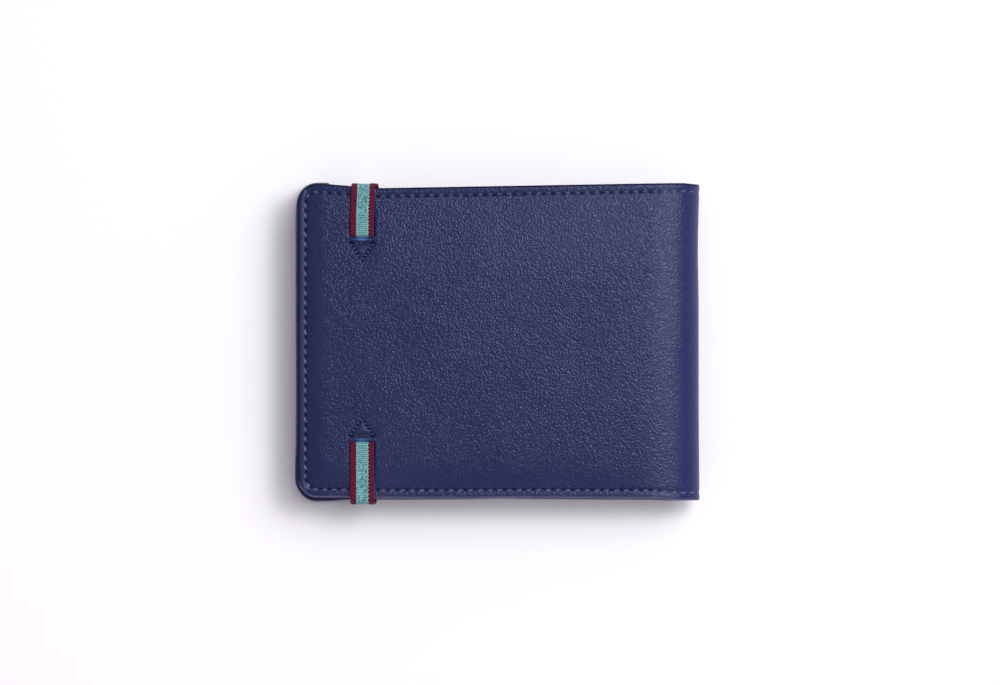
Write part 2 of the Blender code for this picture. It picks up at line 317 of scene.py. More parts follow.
class Cover(namedtuple("Cover", "name side puff spacing seed")):
    """side is 1 for the back cover, which is on top, and -1 for the front cover under it. puff is the
    height of its dome, and spacing is between its grid lines."""

    def top_shift(self, x):
        """How far the top edge is drawn in. The elastic pulls it down over most of its length."""
        drawn_in = 1.30 * rise(x, -55, 21) - 0.0175 * np.maximum(x + 34, 0)
        at_spine = 0.3 * rise(x, 55, 4)
        if self.side > 0:
            return drawn_in + at_spine
        return -0.65 + (drawn_in + 0.80) * rise(x, -51.2, 1.8) + at_spine

    def bottom_shift(self, x):
        if self.side > 0:
            return 0.60 + 0.15 * bell(x, 9, 14) - 0.65 * rise(x, 46, 8) + 0.25 * fall(x, -46, 8)
        raised = 0.25 * bell(x, 4, 20) + 0.12 * bell(x, 0, 5) - 0.20 * rise(x, 46, 6)
        return raised - 0.18 - 0.55 * fall(x, -52, 9)

    def left_shift(self, y):
        if self.side > 0:
            return 0.35 + 0.1 * rise(-y, 36, 8)
        along_middle = 1 - 0.9 * rise(y, 37, 8) - 0.7 * rise(-y, 40, 5)
        return (0.10 * bell(y, -12, 14) - 0.62 - 0.2 * rise(-y, 30, 8)) * along_middle

    def warp(self, x, y):
        """The outline isn't a true rectangle: its edges are drawn in a little by the elastic and by wear."""
        from_top = rise(y, 33, 12) * self.top_shift(x)
        from_bottom = rise(-y, 33, 12) * self.bottom_shift(x)
        return x + rise(-x, 48, 10) * self.left_shift(y), y - from_top + from_bottom

    def place(self, x, y, depth):
        moved_x, moved_y = self.warp(x, y)
        at_x, z = section(self.side, moved_x, depth)
        return stack(at_x, moved_y, z)


BACK = Cover("back_cover", 1, 1.4, 0.36, 3)
FRONT = Cover("front_cover", -1, 0.60, 0.50, 4)


def round_corner(x, y, corner_x, corner_y, radius, sign_x, sign_y):
    """Bends the square corner of a grid of points round an arc."""
    centre_x = corner_x - sign_x * radius
    centre_y = corner_y - sign_y * radius
    a = np.clip(sign_x * (x - centre_x) / radius, 0, 1)
    b = np.clip(sign_y * (y - centre_y) / radius, 0, 1)
    inside = (a > 0) & (b > 0)
    round_x = centre_x + sign_x * radius * a * np.sqrt(1 - b * b / 2)
    round_y = centre_y + sign_y * radius * b * np.sqrt(1 - a * a / 2)
    return np.where(inside, round_x, x), np.where(inside, round_y, y)


STRAIGHT = JOIN_X - FREE_X - CORNER
SIDE_HALF = HALF_HEIGHT - CORNER
SEAM_RADIUS = CORNER - SEAM_INSET
SEAM_ARC = SEAM_RADIUS * math.pi / 2
SEAM_LENGTH = 2 * STRAIGHT + 2 * SEAM_ARC + 2 * SIDE_HALF
SEAM_STITCHES = round(SEAM_LENGTH / STITCH_PITCH)
SEAM_PITCH = SEAM_LENGTH / SEAM_STITCHES


def outline_coordinates(x, y):
    """Distance in from the cover's outline, and distance along the seam from the spine's top end."""
    across = np.maximum(FREE_X + CORNER - x, 0)
    up = np.maximum(np.abs(y) - SIDE_HALF, 0)
    in_corner = (across > 0) & (up > 0)
    from_left = x - FREE_X
    from_side = HALF_HEIGHT - np.abs(y)
    inset = np.where(in_corner, CORNER - np.hypot(across, up), np.minimum(from_left, from_side))
    on_left = STRAIGHT + SEAM_ARC + SIDE_HALF - y
    half_way = np.where(in_corner, STRAIGHT + np.arctan2(across, up) * SEAM_RADIUS, JOIN_X - x)
    mirrored = np.where(y > 0, half_way, SEAM_LENGTH - half_way)
    return inset, np.where(~in_corner & (from_left < from_side), on_left, mirrored)


def seam_holes(inset, travelled, pitch):
    """1 in the middle of each needle hole, which lies just inside the seam line."""
    to_hole = (travelled / pitch + 0.5) % 1 - 0.5
    return bell(to_hole * pitch, 0, 0.72) * bell(inset, SEAM_INSET + 0.30, 0.36)


def seam_relief(inset, travelled, pitch):
    """The seam sinks into the leather, and each needle hole is a small pit."""
    groove = 0.10 * bell(inset, SEAM_INSET, 0.40) + 0.10 * bell(inset, SEAM_INSET, 1.2)
    return 0.04 * bell(inset, 1.2, 0.8) - groove - 0.42 * seam_holes(inset, travelled, pitch)


def broad_relief(cover, x, y, inset):
    """The leather is gently domed: highest at the crown and down to the flat at every edge, with waves."""
    up = np.clip(np.abs(y) / (HALF_HEIGHT - SEAM_INSET), 0, 1)
    free_side = np.clip((CROWN_X - x) / (CROWN_X - FREE_X - SEAM_INSET), 0, 1)
    spine_side = np.clip((x - CROWN_X) / (SPINE_X - CROWN_X), 0, 1)
    out = np.maximum(free_side, spine_side)
    dome = cover.puff * (1 - np.power(up, 2.6)) * (1 - np.power(out, 2.3))
    return dome + 0.045 * ripple(x, y, cover.seed, 26) * rise(inset, 0, 8)


def slit_reach(y):
    """Distance up or down from the middle, as if both slits were as far out as the top one."""
    return np.abs(y) + BOTTOM_SLIT_SHIFT * (y < 0)


def tack_sides(x, y):
    """Signed distances in from the arrowhead's base, which is at the slit, and from its slopes."""
    from_base = TACK_BASE_Y - slit_reach(y)
    across = np.abs(x - STRAP_X)
    return from_base, ((TACK_HALF - across) * TACK_HEIGHT - from_base * TACK_HALF) / TACK_SLOPE


def tack_holes(x, y):
    """1 in the middle of each needle hole of the arrowhead. The two at its base corners are bigger."""
    from_base, from_slope = tack_sides(x, y)
    along = np.where(from_base < from_slope, x - STRAP_X, from_base * TACK_SLOPE / TACK_HEIGHT)
    to_hole = (1 - np.abs(2 * ((along / TACK_PITCH) % 1) - 1)) * TACK_PITCH / 2
    hole = bell(to_hole, 0, 0.42) * bell(np.minimum(from_base, from_slope), 0, 0.40)
    from_corner = np.hypot(np.abs(x - STRAP_X) - TACK_HALF + 0.3, from_base)
    return np.maximum(hole, bell(from_corner, 0, 0.75))


def tack_relief(x, y):
    """Puffed leather inside the arrowhead and a groove along its stitches."""
    inset = np.minimum(*tack_sides(x, y))
    groove = 0.13 * bell(inset, 0, 0.30) + 0.07 * bell(inset, -0.3, 1.6)
    return 0.24 * rise(inset, 0, 1.7) - groove - 0.50 * tack_holes(x, y)


def near_tack(x, y):
    """1 round the arrowheads, so that their relief ends before it can reach anything else."""
    return fall(np.abs(slit_reach(y) - TACK_MIDDLE_Y), 3, 5) * fall(np.abs(x - STRAP_X), 4, 5)


def lip_edge(x):
    """Inner edge of the slit, which bows away from the elastic."""
    return LIP_Y + 0.55 * np.square(np.clip((x - STRAP_X) / 3.7, -1, 1))


def slit_relief(x, y):
    """The leather turns down into the slit on its inner side and ends sharply on its outer side."""
    reach = slit_reach(y)
    down = rise(reach, lip_edge(x), 1.25) * (reach < SLIT_Y + 0.2)
    raised = 0.16 * bell(reach, lip_edge(x) - 0.1, 0.45)
    return fall(np.abs(x - STRAP_X), 3.5, 0.35) * (raised - 1.1 * down)


def under_strap(cover, x, y):
    """1 where the elastic presses the leather flat."""
    across = fall(np.abs(x - STRAP_X), 3.4, 0.9)
    if cover.side < 0:
        return across
    return across * rise(slit_reach(y), SLIT_Y, 0.5)


def cover_relief(cover, x, y):
    """Height of the cover's outer face over its flat place."""
    inset, travelled = outline_coordinates(x, y)
    height = broad_relief(cover, x, y, inset)
    height = height + 0.012 * ripple(x, y, cover.seed + 10, 6) * rise(inset, 0, 5)
    height = height - 0.22 * fall(x, FREE_X + SEAM_INSET, 7.5) * rise(x, FREE_X + 1.6, 1.4)
    if cover.side > 0:
        height = height + near_tack(x, y) * tack_relief(x, y) + slit_relief(x, y)
    rest = under_strap(cover, x, y)
    height = height * (1 - rest) + STRAP_REST * rest
    return height + seam_relief(inset, travelled, SEAM_PITCH) * (1 - 0.8 * rest) - edge_round(inset)


def leather_values(x, y, inset):
    """What the leather material reads on an outer face: grain strength, dark rim, raw edge, a painted
    highlight along the start of the fold and near the top, and painted shade that tints the outer fold a
    deeper navy."""
    low_side = rise(-y, SIDE_HALF, 4)
    rim = fall(inset, 0.30, 0.45)
    grain = (0.7 + 0.3 * rise(inset, 0.4, 3)) * (0.85 + 0.2 * rise(x + y, -40, 120))
    # Painted highlight: the leather is lightened along the start of the fold and near the top right, where
    # the lamp's sheen falls.
    fold_highlight = bell(x, 49.3, 4.6) * (0.5 + 0.3 * rise(y, -20, 40))
    return {
        "grain": grain * (1 - 0.45 * rise(x, 48, 9)),
        # Besides the dark dyed rim, painted shade: a dark band where the fold turns past the lamp's
        # highlight.
        "rim": np.maximum(rim * (1 - low_side), 0.25 * bell(x, 55.6, 1.9)),
        "edge": 0.8 * rim * low_side,
        "worn": np.maximum(fold_highlight, 0.45 * bell(x, 34, 18) * rise(y, 14, 16)),
        # Painted shade: the outer part of the fold, which turns away from the lamp, is tinted a deeper, more
        # saturated navy.
        "blue": rise(x, 52, 3),
    }


def cover_values(cover, x, y):
    """The same on a cover, with painted shade in its needle holes, a smoothed free side darkened with
    painted shade, and the painted lip of the slits.
    """
    inset, travelled = outline_coordinates(x, y)
    values = leather_values(x, y, inset)
    # Painted shade: the needle holes, and those of the arrowheads, are darkened through the rim value.
    holes = 0.9 * seam_holes(inset, travelled, SEAM_PITCH)
    # The free side is pressed smooth; its darkening is painted shade where the leather slopes away from the
    # lamp.
    pressed = fall(x, FREE_X + 3, 7)
    painted = np.zeros_like(x)
    if cover.side > 0:
        from_middle = np.abs(x - STRAP_X)
        reach = slit_reach(y)
        inside = fall(from_middle, 2.9, 0.7) * (1 - 0.85 * rise(from_middle, 0.3, 2.3))
        painted = inside * rise(reach, lip_edge(x) - 0.08, 0.22) * (reach < SLIT_Y + 0.2)
        holes = np.maximum(holes, near_tack(x, y) * tack_holes(x, y))
    smoothed = (1 - 0.8 * pressed) * (1 - 0.5 * rise(-y, 33, 9) * rise(inset, 3, 2))
    values["grain"] = values["grain"] * smoothed * fall(painted, 0, 1 / 3)
    values["rim"] = np.maximum(values["rim"], holes)
    return values | {"paint": painted, "burnish": pressed}


def wall_profile(rim, start):
    """Insets and depths of the turned edge, from the face's rounded edge, round two plies, to the inside.
    rim is how deep the edge reaches, and start is the depth at which the face ends."""
    low = np.maximum(rim, PLY_SPLIT + 0.75)
    insets = (0, 0, 0.05, 0.18, 0.30, 0.18, 0.04, 0, 0, 0.05, 0.18, 0.45, 1.20, 1.25, 1.25, 2.2)
    plies = (EDGE_ROUND, 0.95, 1.20, 1.36, PLY_SPLIT, 1.54, 1.70, 1.90)
    depths = [np.full_like(low, t) for t in plies]
    depths += [low - t for t in (0.45, 0.22, 0.06, 0, 0, 0.1)]
    depths += [np.full_like(low, t) for t in (1.35, 1.25)]
    depths = np.stack(depths, axis=-1)
    ease = np.clip(1 - (depths - EDGE_ROUND) / 1.5, 0, 1)
    return np.array(insets), depths + (start - EDGE_ROUND) * ease


WALL_VALUES = {
    "grain": 0.25,
    "edge": np.array([0, 0.2, 0.5, 0.5, 0, 0.7, 1, 1, 1, 1, 0.9, 0.7, 0.2, 0, 0, 0]),
    "rim": np.array([1, 0.8, 0.4, 0.4, 1, 0.3, 0, 0, 0, 0, 0, 0, 0, 0, 0, 0]),
}


def side_lines(spacing):
    """Grid lines up a cover, closer at both edges and at the slits and arrowheads."""
    inner = lines(
        0, (21.5, spacing), (32.2, FINE_SPACING), (SIDE_HALF, spacing),
        (HALF_HEIGHT - 1, RIM_SPACING), (HALF_HEIGHT - 0.65, RIM_SPACING),
    )
    top = np.concatenate([inner[:-1], HALF_HEIGHT - EDGE_STEPS[::-1]])
    return np.concatenate([-top[:0:-1], top])


def along_lines(spacing):
    """The same along a cover."""
    inner = lines(
        FREE_X + 0.82, (FREE_X + CORNER, RIM_SPACING), (STRAP_X - 4.8, spacing),
        (STRAP_X + 4.8, FINE_SPACING), (JOIN_X - 0.05, spacing), (JOIN_X, 0.05),
    )
    return np.concatenate([FREE_X + EDGE_STEPS, inner])


def build_cover_skin(cover):
    """Outer leather of a cover: its face, then the turned edge along its three free sides."""
    x, y = np.meshgrid(along_lines(cover.spacing), side_lines(cover.spacing))
    for sign in (1, -1):
        x, y = round_corner(x, y, FREE_X, sign * HALF_HEIGHT, CORNER, -1, sign)
    shell = Shell()
    shell.grid(cover.place(x, y, -cover_relief(cover, x, y)), **cover_values(cover, x, y))
    loop_x, loop_y = (np.concatenate([v[-1, ::-1], v[-2:0:-1, 0], v[0]]) for v in (x, y))
    across = np.maximum(FREE_X + CORNER - loop_x, 0)
    up = np.sign(loop_y) * np.maximum(np.abs(loop_y) - SIDE_HALF, 0)
    reach = np.hypot(across, up)
    # The top edge is a thin hem, because the note compartment opens there. The others reach the panel.
    at_top = rise(loop_y, SIDE_HALF, 5) * rise(loop_x, FREE_X + 1, 6)
    start = -cover_relief(cover, loop_x, loop_y)
    insets, depths = wall_profile(RIM + (TOP_HEM - RIM) * at_top, start[:, None])
    wall_x = loop_x[:, None] + (across / reach)[:, None] * insets
    wall_y = loop_y[:, None] - (up / reach)[:, None] * insets
    points = cover.place(wall_x, wall_y, depths)
    points[:, 0] = cover.place(loop_x, loop_y, start)
    shell.grid(points, **WALL_VALUES)
    skin = shell.build(f"{cover.name}_outer_leather", LEATHER, f"{cover.name}_leather")
    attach(skin, cover.name)


# ---- the fold


def fold_table():
    """theta round the fold, the distance travelled along its face, and the angle seen from its centre."""
    theta = np.linspace(-math.pi / 2 + 0.02, math.pi / 2 - 0.02, 2001)
    x, z = spine_section(theta, 0.0)
    return theta, travel(x, z), np.arctan2(z - MID_Z, x - FOLD_CENTRE_X)


FOLD_THETA, FOLD_TRAVELLED, FOLD_ANGLE = fold_table()
JOIN_THETA = math.pi / 2 - float(theta_at(JOIN_X))
FOLD_FROM = float(np.interp(-JOIN_THETA, FOLD_THETA, FOLD_TRAVELLED))
FOLD_TO = float(np.interp(JOIN_THETA, FOLD_THETA, FOLD_TRAVELLED))
FOLD_STITCHES = round((FOLD_TO - FOLD_FROM) / STITCH_PITCH)
FOLD_PITCH = (FOLD_TO - FOLD_FROM) / FOLD_STITCHES
OVERLAP = math.radians(14)
LINING_OVERLAP = math.radians(9)
TUCK = 0.15


def theta_of_angle(degrees):
    return float(np.interp(math.radians(degrees), FOLD_ANGLE, FOLD_THETA))


# The sheets are cut in the middle of each strip, so that each stretch holds one hinge line
CUTS = [theta_of_angle(degrees) for degrees in (-54, -18, 18, 54)]
FoldPart = namedtuple("FoldPart", "start end bodies joint node")

# Each stretch of the fold: its ends, the bodies of the strips that it lies on, the joint whose hinge line it
# holds and its CAD node. The two middle stretches reach past the middle and tuck under each other, so that
# no gap opens between them when the wallet is flat.
FOLD_PARTS = [
    FoldPart(-JOIN_THETA, CUTS[0], ("front_cover", "spine_1"), "spine_bend_1", 1),
    FoldPart(CUTS[0], CUTS[1], ("spine_1", "spine_2"), "spine_bend_2", 1),
    FoldPart(CUTS[1], OVERLAP, ("spine_2",), None, 2),
    FoldPart(-OVERLAP, CUTS[2], ("spine_3",), None, 3),
    FoldPart(CUTS[2], CUTS[3], ("spine_3", "spine_4"), "spine_bend_3", 4),
    FoldPart(CUTS[3], JOIN_THETA, ("spine_4", "back_cover"), "spine_bend_4", 4),
]


def tucked(theta, part):
    """Extra depth of a middle stretch beyond the middle of the spine."""
    if part.joint:
        return 0.0
    beyond = theta if part.end == OVERLAP else -theta
    return TUCK * rise(beyond, 0, math.radians(4))


def follow_fold(obj, part):
    """Attaches a middle stretch of the fold to its strip. Any other stretch only has its transform baked:
    it is not tied to its strips and does not bend.
    """
    if part.joint is None:
        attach(obj, part.bodies[0])
        return
    pivot = HINGES[part.joint]
    radial = np.array([pivot[0] - FOLD_CENTRE_X, pivot[2] - MID_Z])
    radial = radial / np.linalg.norm(radial)
    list(part.bodies)
    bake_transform(obj)


def part_ends(part, overlap):
    """The ends of a stretch. The middle ones reach past the middle by an overlap."""
    start = -overlap if part.start == -OVERLAP else part.start
    end = overlap if part.end == OVERLAP else part.end
    return start, end


def fold_steps(start, end, step=math.radians(1.4)):
    """Angles along a stretch, with one very close to each end so that shading meets its neighbour's."""
    near = 0.002
    if start < 0 < end:
        return np.concatenate([fold_steps(start, 0.0, step)[:-1], fold_steps(0.0, end, step)])
    count = max(2, math.ceil((end - start) / step))
    inner = np.linspace(start, end, count + 1)[1:-1]
    return np.concatenate([[start, start + near], inner, [end - near, end]])


def back_share(theta):
    """0 where the fold meets the front cover and 1 where it meets the back cover."""
    return rise(theta, -JOIN_THETA, 2 * JOIN_THETA)


def fold_middle(theta):
    """1 at the middle of the spine and 0 where the fold meets the covers."""
    return np.square(np.cos(theta * math.pi / 2 / JOIN_THETA))


def fold_warp(theta, x, y):
    """Takes the outline's shifts from one cover to the other round the fold."""
    share = back_share(theta)
    return BACK.warp(x, y)[1] * share + FRONT.warp(x, y)[1] * (1 - share)


def fold_relief(theta, y):
    """Height of the spine's face: the covers' swelling runs out, and the middle is drawn in a little."""
    share = back_share(theta)
    turned = fold_middle(theta)
    x, _ = spine_section(theta, 0.0)
    inset = HALF_HEIGHT - np.abs(y)
    height = broad_relief(BACK, x, y, inset) * share + broad_relief(FRONT, x, y, inset) * (1 - share)
    hollow = 0.22 * (1 - np.power(np.abs(y) / HALF_HEIGHT, 4)) + 0.28 * bell(y, 28, 12)
    height = height + turned * (0.10 - hollow)
    travelled = np.interp(theta, FOLD_THETA, FOLD_TRAVELLED) - FOLD_FROM
    return height + seam_relief(inset, travelled, FOLD_PITCH) * (1 - 0.7 * turned) - edge_round(inset)


def build_fold_skin(part, number):
    """Outer leather of one stretch of the fold, with the same turned edges as the covers."""
    flat_y = side_lines(BACK.spacing)[None, :]
    theta = fold_steps(part.start, part.end)[:, None]
    depth = tucked(theta, part) - fold_relief(theta, flat_y)
    x, z = spine_section(theta, depth)
    outer_x, _ = spine_section(theta, 0.0)
    values = leather_values(outer_x, flat_y, HALF_HEIGHT - np.abs(flat_y))
    values["grain"] = values["grain"] * (1 - 0.2 * fold_middle(theta))
    shell = Shell()
    shell.grid(stack(x, fold_warp(theta, outer_x, flat_y), z), **values)
    for sign, rim, start in ((1, TOP_HEM, depth[:, -1:]), (-1, RIM, depth[:, :1])):
        insets, depths = wall_profile(np.full(len(theta), rim), start)
        wall_x, wall_z = spine_section(theta, depths + tucked(theta, part))
        wall_y = fold_warp(theta, outer_x, sign * (HALF_HEIGHT - insets)[None, :])
        shell.grid(stack(wall_x, wall_y, wall_z), **WALL_VALUES)
    skin = shell.build(f"spine_outer_leather_{number}", LEATHER, f"spine_leather_{part.node}")
    follow_fold(skin, part)


FoldLayer = namedtuple("FoldLayer", "name node finish low_y high_y depth closer thickness overlap")


def build_fold_layer(layer, part, number):
    """A thin inner layer of the fold, with rounded top and bottom edges. closer is how much nearer it
    lies to the leather there than on the covers."""
    theta = fold_steps(*part_ends(part, layer.overlap), math.radians(3))[:, None]
    flat_y = rounded_ends(lines(layer.low_y, (layer.high_y, 1.0)))[None, :]
    inset = np.minimum(flat_y - layer.low_y, layer.high_y - flat_y)
    outer_x, _ = spine_section(theta, 0.0)
    y = fold_warp(theta, outer_x, flat_y)
    wave = 0.05 * ripple(np.degrees(theta), flat_y, 21, 30) * rise(inset, 0, 3)
    depth = layer.depth - layer.closer * rise(JOIN_THETA - np.abs(theta), 0, 0.6)
    middle = depth + tucked(theta, part) + layer.thickness / 2 + wave
    shell = Shell()
    for side in (-1, 1):
        x, z = spine_section(theta, middle + side * sheet_half(inset, layer.thickness))
        shell.grid(stack(x, y, z), grain=0.6, edge=fall(inset, 0, 0.3))
    sheet = shell.build(f"{layer.name}_{number}", layer.finish, f"{layer.node}_{part.node}")
    follow_fold(sheet, part)


# ---- inner layers


def build_slab(cover, name, node, finish, corners, depth, thickness, relief=None, top_radius=0.8):
    """A flat inner layer with rounded edges. relief adds height, and painted shade, on the side that faces
    the inside.
    """
    (x0, y0), (x1, y1) = corners
    radius = SLAB_CORNER
    x_lines = lines(x0, (x0 + radius, 0.5), (x1, 0.9))
    y_lines = lines(y0, (y0 + radius, 0.5), (y1 - radius, 0.9), (y1, 0.35))
    x, y = np.meshgrid(rounded_ends(x_lines), rounded_ends(y_lines))
    rounded = ((y0, radius, -1), (y1, top_radius, 1))
    for corner_y, corner_radius, sign in rounded:
        x, y = round_corner(x, y, x0, corner_y, corner_radius, -1, sign)
    inset = np.minimum(np.minimum(x - x0, x1 - x), np.minimum(y - y0, y1 - y))
    for corner_y, corner_radius, _ in rounded:
        across = x0 + corner_radius - x
        up = corner_radius - np.abs(y - corner_y)
        inset = np.where((across > 0) & (up > 0), corner_radius - np.hypot(across, up), inset)
    height, dark = relief(x, y) if relief else (0.0, 0.0)
    half = sheet_half(inset, thickness)
    middle = depth + thickness / 2
    edge = fall(inset, 0, 0.3)
    inner = middle + half + height * rise(inset, 0, 0.6)
    shell = Shell()
    shell.grid(cover.place(x, y, middle - half), grain=0.6, edge=edge)
    # The relief's painted shade goes into the rim value.
    shell.grid(cover.place(x, y, inner), grain=0.6, edge=edge, rim=dark)
    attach(shell.build(f"{cover.name}_{name}", finish, f"{cover.name}_{node}"), cover.name)


def inner_depth(y):
    """Depth of the inner face that shows at a height: the panel over the first mouth, else a slot."""
    showing = [low[2] for low, high in SLOTS if y < high[1]]
    return BACK_Z - (showing or [PANEL_LOW[2]])[-1]


def mouth_relief(mouth_y, next_y, seed):
    """A pressed crease under the folded mouth of a slot, a sewn groove and slight waves, with painted shade:
    dark lines in the crease and against the mouth of the next slot, at next_y."""

    def relief(x, y):
        inset, travelled = outline_coordinates(x, y)
        crease = bell(mouth_y - y, 1.7, 0.24)
        hem = bell(mouth_y - y, 0.8, 0.7)
        seam = 0.7 * seam_relief(inset, travelled, SEAM_PITCH) * (mouth_y < PANEL_TOP_Y)
        height = 0.06 * hem - 0.12 * crease + seam + 0.03 * ripple(x, y, seed, 30)
        # Painted shade in the crease and under the next slot's mouth.
        return height, np.maximum(0.7 * crease, 0.9 * bell(y, next_y + 0.1, 0.40))

    return relief


def build_inside(cover):
    """Cloth lining, inner panel and the stepped card slots."""
    mouths = [high[1] for _, high in SLOTS] + [-HALF_HEIGHT * 2]
    build_slab(
        cover, "lining_cloth", "lining", CLOTH, (LINING_LOW[:2], (JOIN_X, LINING_HIGH[1])),
        LINING_DEPTH, LINING_HIGH[2] - LINING_LOW[2], top_radius=SLAB_CORNER,
    )
    build_slab(
        cover, "inner_leather", "inner_panel", INNER_LEATHER, (PANEL_LOW[:2], (JOIN_X, PANEL_TOP_Y)),
        PANEL_DEPTH, PANEL_THICK, mouth_relief(PANEL_TOP_Y, mouths[0], 31), SLAB_CORNER,
    )
    for i, (low, high) in enumerate(SLOTS):
        build_slab(
            cover, f"slot_leather_{i + 1}", f"card_slot_{i + 1}", INNER_LEATHER, (low[:2], high[:2]),
            BACK_Z - high[2] - 0.09, SLOT_THICK, mouth_relief(high[1], mouths[i + 1], 40 + i),
        )


# ---- stitches


def stitch_points(ends, up, radius, sink, arch):
    """One sewn stitch: a two-ply thread that comes up out of one hole and goes down into the next.
    ends are its two ends, and up is the way out of the leather."""
    u = np.linspace(-1, 1, 13)[:, None]
    angle = np.linspace(0, math.tau, 9)[None, :]
    run = ends[1] - ends[0]
    length = np.linalg.norm(run)
    up = up / np.linalg.norm(up)
    sideways = np.cross(run / length, up)
    height = arch - (arch + sink) * np.power(np.abs(u), 3.5)
    centre = (ends[0] + ends[1]) / 2 + run / 2 * u + up * height
    plies = 1 + 0.16 * np.cos(2 * angle - 4.2 * u * length)
    reach = radius * plies * (1 - 0.35 * np.power(np.abs(u), 6))
    circle = np.cos(angle)[..., None] * sideways + 0.8 * np.sin(angle)[..., None] * up
    return centre[:, None, :] + reach[..., None] * circle


def seam_path():
    """The seam line of a cover as distances along it and points."""
    turn = np.linspace(0, math.pi / 2, 40)
    arc_x = FREE_X + CORNER - SEAM_RADIUS * np.sin(turn)
    arc_y = SIDE_HALF + SEAM_RADIUS * np.cos(turn)
    x = np.concatenate([[JOIN_X], arc_x, arc_x[::-1], [JOIN_X]])
    y = np.concatenate([[arc_y[0]], arc_y, -arc_y[::-1], [-arc_y[0]]])
    travelled = travel(x, y)
    return travelled * SEAM_LENGTH / travelled[-1], x, y


SEAM_PATH = seam_path()


def seam_point(travelled):
    along, x, y = SEAM_PATH
    return np.array([np.interp(travelled, along, x), np.interp(travelled, along, y)])


def seam_ends(cover, middle, half, slant, depth_at):
    """Both ends of a stitch that slants across the seam. depth_at(x, y) is their depth."""
    ends = []
    for sign in (-1, 1):
        at = middle + sign * half
        run = seam_point(at + 0.1) - seam_point(at - 0.1)
        heading = run / np.linalg.norm(run)
        x, y = seam_point(at) + sign * slant * np.array([-heading[1], heading[0]])
        ends.append(cover.place(x, y, depth_at(x, y)))
    return ends


def build_seam_stitches(cover):
    """The stitches round a cover. Every other run of thread is under the leather."""
    shell = Shell()
    rng = np.random.default_rng(cover.seed + 50)
    for k in range(SEAM_STITCHES):
        middle = (k + 0.5) * SEAM_PITCH
        half = SEAM_PITCH * STITCH_SHARE / 2 * rng.uniform(0.92, 1.08)
        slant = 0.24 + rng.uniform(-0.05, 0.05)
        mid_x, mid_y = seam_point(middle)
        if under_strap(cover, mid_x, mid_y) > 0.5:
            continue
        sunk = float(rise(abs(mid_y), SIDE_HALF - 2, 4)) * (1.0 if mid_y > 0 else 0.6)

        def depth_at(x, y):
            return 0.02 - float(cover_relief(cover, x, y)) * (0.4 + 0.5 * sunk)

        ends = seam_ends(cover, middle, half, slant, depth_at)
        up = np.array([0, 0, cover.side])
        shell.grid(stitch_points(ends, up, THREAD_RADIUS * (1 - 0.35 * sunk), 0.30, 0.10 - 0.20 * sunk))
    stitches = shell.build(f"{cover.name}_seam_stitches", THREAD, f"{cover.name}_edge_thread")
    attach(stitches, cover.name)


def build_inner_stitches(cover):
    """The same seam seen from the inside, on whichever layer shows there."""
    shell = Shell()
    for k in range(SEAM_STITCHES):
        middle = (k + 0.5) * SEAM_PITCH
        mid_y = seam_point(middle)[1]
        if mid_y > PANEL_TOP_Y - 5:
            continue
        ends = seam_ends(cover, middle, SEAM_PITCH * 0.3, 0.08, lambda x, y: inner_depth(mid_y) + 0.02)
        shell.grid(stitch_points(ends, np.array([0, 0, -cover.side]), 0.2, 0.2, 0.04))
    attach(shell.build(f"{cover.name}_inner_stitches", THREAD), cover.name)


def fold_stitch_ends(middle, sign):
    """Both ends of a stitch at a distance round the fold. sign is 1 at the top edge, -1 at the bottom."""
    ends = []
    for way in (-1, 1):
        at = np.interp(middle + way * STITCH_SHARE / 2 * FOLD_PITCH, FOLD_TRAVELLED, FOLD_THETA)
        y = sign * (HALF_HEIGHT - SEAM_INSET) + way * 0.08
        x, z = spine_section(at, 0.02 - fold_relief(at, y) * 0.4)
        ends.append(np.array([x, fold_warp(at, x, y), z]))
    return ends


def build_fold_stitches(part, number):
    shell = Shell()
    start, end = part_ends(part, 0.0)
    for sign in (1, -1):
        for k in range(FOLD_STITCHES):
            middle = FOLD_FROM + (k + 0.5) * FOLD_PITCH
            theta = np.interp(middle, FOLD_TRAVELLED, FOLD_THETA)
            if not start <= theta < end:
                continue
            x0, z0 = spine_section(theta, 0.0)
            x1, z1 = spine_section(theta, -1.0)
            up = np.array([x1 - x0, 0, z1 - z0])
            shell.grid(stitch_points(fold_stitch_ends(middle, sign), up, THREAD_RADIUS * 0.7, 0.28, 0.0))
    if shell.points:
        follow_fold(shell.build(f"spine_seam_stitches_{number}", THREAD), part)


def build_tack_stitches(end, name):
    """Short stitches along the three sides of an arrowhead."""
    shell = Shell()
    base_y = TACK_BASE_Y - BOTTOM_SLIT_SHIFT * (end < 0)
    corners = [
        np.array([STRAP_X - TACK_HALF, end * base_y]),
        np.array([STRAP_X + TACK_HALF, end * base_y]),
        np.array([STRAP_X, end * (base_y - TACK_HEIGHT)]),
    ]
    for i in range(3):
        run = corners[(i + 1) % 3] - corners[i]
        count = round(np.linalg.norm(run) / TACK_PITCH)
        for k in range(count):
            places = [corners[i] + run * share / count for share in (k + 0.25, k + 0.75)]
            ends = [BACK.place(x, y, -float(cover_relief(BACK, x, y))) for x, y in places]
            arch = -0.12 if i == 0 else 0.12
            shell.grid(stitch_points(ends, np.array([0, 0, 1.0]), 0.19, 0.20, arch))
    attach(shell.build(f"{name}_arrowhead_stitches", THREAD, f"{name}_tack_thread"), "back_cover")


# ---- elastic


def strap_section():
    """Points round the elastic's section: across its width, and height over its middle plane."""
    bevel = 0.12
    flat = STRAP_WIDTH / 2 - bevel
    top = np.linspace(-flat, flat, 49)
    low = top[::-4]
    turn = np.linspace(0, math.pi, 7)[1:-1]
    side = flat + bevel * np.sin(turn)
    across = np.concatenate([top, side, low, -side, top[:1]])
    height = np.concatenate([np.ones(49), np.cos(turn), -np.ones(len(low)), -np.cos(turn), [1]])
    return across, height * STRAP_THICK / 2


